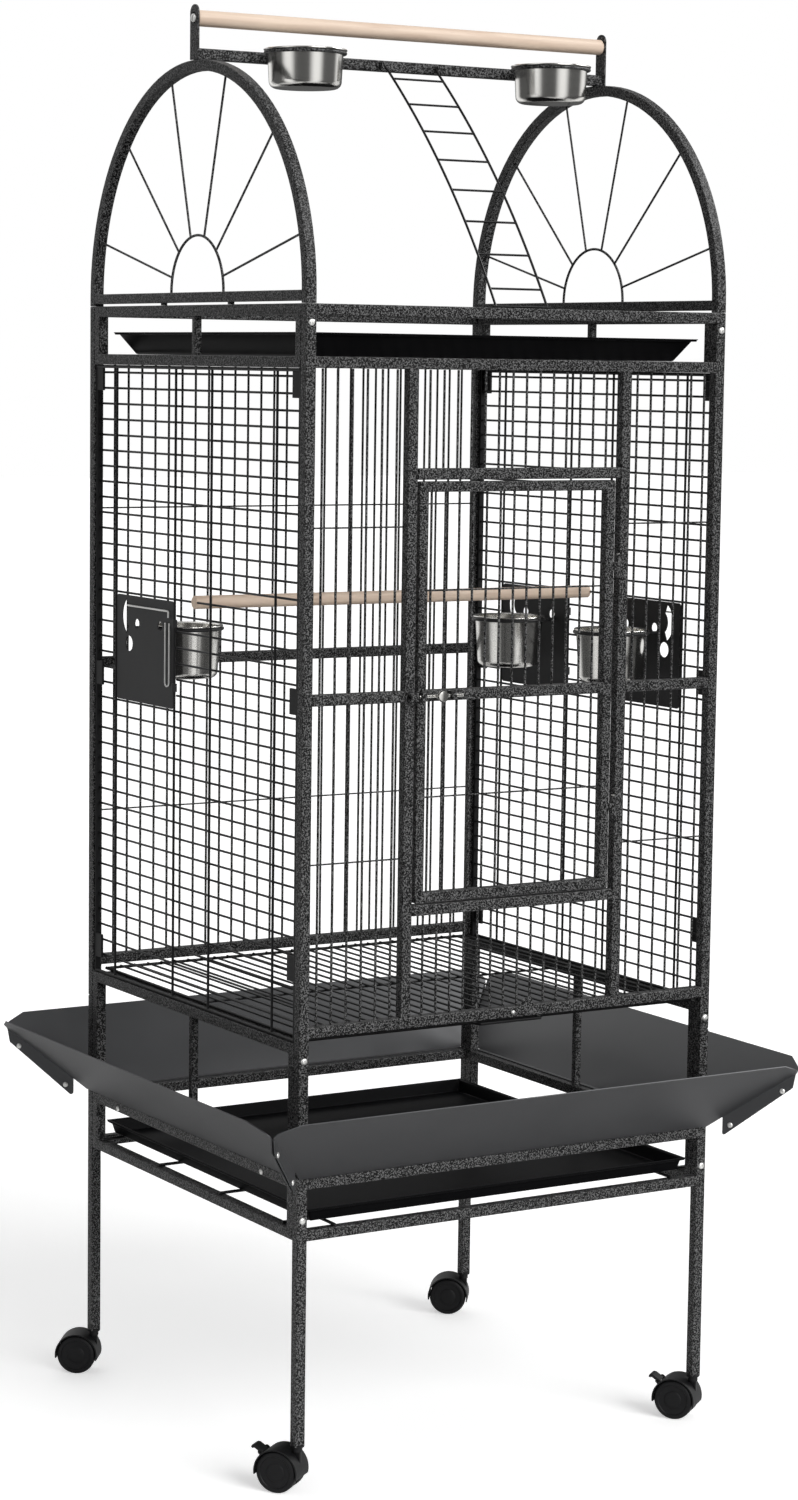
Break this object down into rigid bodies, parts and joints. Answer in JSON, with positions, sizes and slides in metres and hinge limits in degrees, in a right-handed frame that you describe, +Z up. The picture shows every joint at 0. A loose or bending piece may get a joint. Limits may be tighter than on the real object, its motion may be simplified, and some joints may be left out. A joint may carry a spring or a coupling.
{
  "type": "bird cage",
  "caption": "Play-top parrot cage on a wheeled stand, with a barred front door, feeder doors with bowls, seed skirts, pull-out trays and grate, ladder and perches.",
  "frame": {"origin": "centre of the footprint at floor level, under the middle of the cage", "axes": "+X to the right of the cage seen from its front, +Y towards its rear, +Z up; the main door is in the -Y face"},
  "size_m": [0.7706, 0.7386, 1.7243],
  "materials": {
    "hammered_frame": "dark grey hammered powder coat with silver flecks",
    "black_wire": "near-black satin coat on wire",
    "tray_black": "black semi-gloss coat on sheet",
    "skirt_grey": "smooth dark grey satin coat on sheet",
    "perch_wood": "bare pale hardwood",
    "bright_steel": "polished stainless steel",
    "black_plastic": "black moulded plastic"
  },
  "bodies": {
    "cage": {"front_frame": "hammered_frame", "front_left_grille": "hammered_frame", "front_right_grille": "hammered_frame", "front_lintel_grille": "hammered_frame", "front_sill_grille": "hammered_frame", "rear_panel": "hammered_frame", "left_side_panel": "black_wire", "right_side_panel": "black_wire", "left_upper_frame": "hammered_frame", "right_upper_frame": "hammered_frame", "roof_grille": "black_wire", "lower_hinge_pin": "bright_steel", "upper_hinge_pin": "bright_steel", "inner_perch": "perch_wood", "left_arch": "hammered_frame", "right_arch": "hammered_frame", "perch_stand": "hammered_frame", "top_perch": "perch_wood", "left_perch_bolt": "bright_steel", "right_perch_bolt": "bright_steel", "front_base_frame": "hammered_frame", "rear_base_frame": "hammered_frame", "left_base_frame": "hammered_frame", "right_base_frame": "hammered_frame", "tray_rack": "black_wire", "front_skirt": "skirt_grey", "rear_skirt": "skirt_grey", "left_skirt": "skirt_grey", "right_skirt": "skirt_grey"},
    "door": {"main_door": "hammered_frame"},
    "latch": {"door_latch": "bright_steel"},
    "ladder_body": {"ladder": "black_wire"},
    "play_tray": {"top_tray": "tray_black"},
    "grate": {"floor_grate": "black_wire"},
    "litter_tray": {"bottom_tray": "tray_black"},
    "grate_lock": {"grate_lock_tab": "hammered_frame"},
    "left_feeder": {"left_feeder_door": "black_wire"},
    "left_feeder_bowl": {"left_bowl": "bright_steel"},
    "right_front_feeder": {"right_front_feeder_door": "black_wire"},
    "right_front_feeder_bowl": {"right_front_bowl": "bright_steel"},
    "right_rear_feeder": {"right_rear_feeder_door": "black_wire"},
    "right_rear_feeder_bowl": {"right_rear_bowl": "bright_steel"},
    "left_cup_body": {"left_cup": "bright_steel"},
    "right_cup_body": {"right_cup": "bright_steel"},
    "front_left_caster": {"front_left_caster_body": "black_plastic"},
    "front_left_wheels": {"front_left_caster_wheels": "black_plastic"},
    "front_left_brake": {"front_left_brake_lever": "black_plastic"},
    "front_right_caster": {"front_right_caster_body": "black_plastic"},
    "front_right_wheels": {"front_right_caster_wheels": "black_plastic"},
    "front_right_brake": {"front_right_brake_lever": "black_plastic"},
    "rear_left_caster": {"rear_left_caster_body": "black_plastic"},
    "rear_left_wheels": {"rear_left_caster_wheels": "black_plastic"},
    "rear_right_caster": {"rear_right_caster_body": "black_plastic"},
    "rear_right_wheels": {"rear_right_caster_wheels": "black_plastic"}
  },
  "joints": [
    {"name": "door_hinge", "type": "hinge", "parent": "cage", "child": "door", "pos_m": [0.1385, -0.2765, 0.927], "axis": [0, 0, 1], "range_deg": [0, 170]},
    {"name": "door_latch_slide", "type": "slide", "parent": "door", "child": "latch", "axis": [1, 0, 0], "range_m": [-0.009, 0]},
    {"name": "ladder_lift", "type": "hinge", "parent": "cage", "child": "ladder_body", "pos_m": [0, -0.0115, 1.6668], "axis": [-1, 0, 0], "range_deg": [0, 45]},
    {"name": "play_tray_slide", "type": "slide", "parent": "cage", "child": "play_tray", "axis": [0, -1, 0], "range_m": [0, 0.4]},
    {"name": "grate_slide", "type": "slide", "parent": "cage", "child": "grate", "axis": [0, -1, 0], "range_m": [0, 0.4]},
    {"name": "litter_tray_slide", "type": "slide", "parent": "cage", "child": "litter_tray", "axis": [0, -1, 0], "range_m": [0, 0.45]},
    {"name": "grate_lock_turn", "type": "hinge", "parent": "cage", "child": "grate_lock", "pos_m": [0, -0.2759, 0.5435], "axis": [0, -1, 0], "range_deg": [-105, 0]},
    {"name": "left_feeder_hinge", "type": "hinge", "parent": "cage", "child": "left_feeder", "pos_m": [-0.2878, 0.0461, 0.948], "axis": [0, 0, 1], "range_deg": [0, 100]},
    {"name": "left_bowl_lift", "type": "slide", "parent": "left_feeder", "child": "left_feeder_bowl", "axis": [0, 0, 1], "range_m": [0, 0.07]},
    {"name": "right_front_feeder_hinge", "type": "hinge", "parent": "cage", "child": "right_front_feeder", "pos_m": [0.2878, -0.0461, 0.948], "axis": [0, 0, 1], "range_deg": [0, 100]},
    {"name": "right_front_bowl_lift", "type": "slide", "parent": "right_front_feeder", "child": "right_front_feeder_bowl", "axis": [0, 0, 1], "range_m": [0, 0.07]},
    {"name": "right_rear_feeder_hinge", "type": "hinge", "parent": "cage", "child": "right_rear_feeder", "pos_m": [0.2878, 0.0461, 0.948], "axis": [0, 0, -1], "range_deg": [0, 100]},
    {"name": "right_rear_bowl_lift", "type": "slide", "parent": "right_rear_feeder", "child": "right_rear_feeder_bowl", "axis": [0, 0, 1], "range_m": [0, 0.07]},
    {"name": "left_cup_lift", "type": "slide", "parent": "cage", "child": "left_cup_body", "axis": [0, 0, 1], "range_m": [0, 0.06]},
    {"name": "right_cup_lift", "type": "slide", "parent": "cage", "child": "right_cup_body", "axis": [0, 0, 1], "range_m": [0, 0.06]},
    {"name": "front_left_swivel", "type": "hinge", "parent": "cage", "child": "front_left_caster", "pos_m": [-0.2845, -0.2685, 0.054], "axis": [0, 0, 1], "continuous": true},
    {"name": "front_left_wheel_roll", "type": "hinge", "parent": "front_left_caster", "child": "front_left_wheels", "pos_m": [-0.29684, -0.25213, 0.0248], "axis": [0.7986, 0.6018, 0], "continuous": true},
    {"name": "front_left_brake_press", "type": "hinge", "parent": "front_left_caster", "child": "front_left_brake", "pos_m": [-0.31025, -0.23432, 0.04487], "axis": [-0.7986, -0.6018, 0], "range_deg": [0, 20]},
    {"name": "front_right_swivel", "type": "hinge", "parent": "cage", "child": "front_right_caster", "pos_m": [0.2845, -0.2685, 0.054], "axis": [0, 0, 1], "continuous": true},
    {"name": "front_right_wheel_roll", "type": "hinge", "parent": "front_right_caster", "child": "front_right_wheels", "pos_m": [0.27216, -0.25213, 0.0248], "axis": [0.7986, 0.6018, 0], "continuous": true},
    {"name": "front_right_brake_press", "type": "hinge", "parent": "front_right_caster", "child": "front_right_brake", "pos_m": [0.25875, -0.23432, 0.04487], "axis": [-0.7986, -0.6018, 0], "range_deg": [0, 20]},
    {"name": "rear_left_swivel", "type": "hinge", "parent": "cage", "child": "rear_left_caster", "pos_m": [-0.2845, 0.2685, 0.054], "axis": [0, 0, 1], "continuous": true},
    {"name": "rear_left_wheel_roll", "type": "hinge", "parent": "rear_left_caster", "child": "rear_left_wheels", "pos_m": [-0.30098, 0.28069, 0.0248], "axis": [0.5948, 0.8039, 0], "continuous": true},
    {"name": "rear_right_swivel", "type": "hinge", "parent": "cage", "child": "rear_right_caster", "pos_m": [0.2845, 0.2685, 0.054], "axis": [0, 0, 1], "continuous": true},
    {"name": "rear_right_wheel_roll", "type": "hinge", "parent": "rear_right_caster", "child": "rear_right_wheels", "pos_m": [0.26802, 0.28069, 0.0248], "axis": [0.5948, 0.8039, 0], "continuous": true}
  ]
}
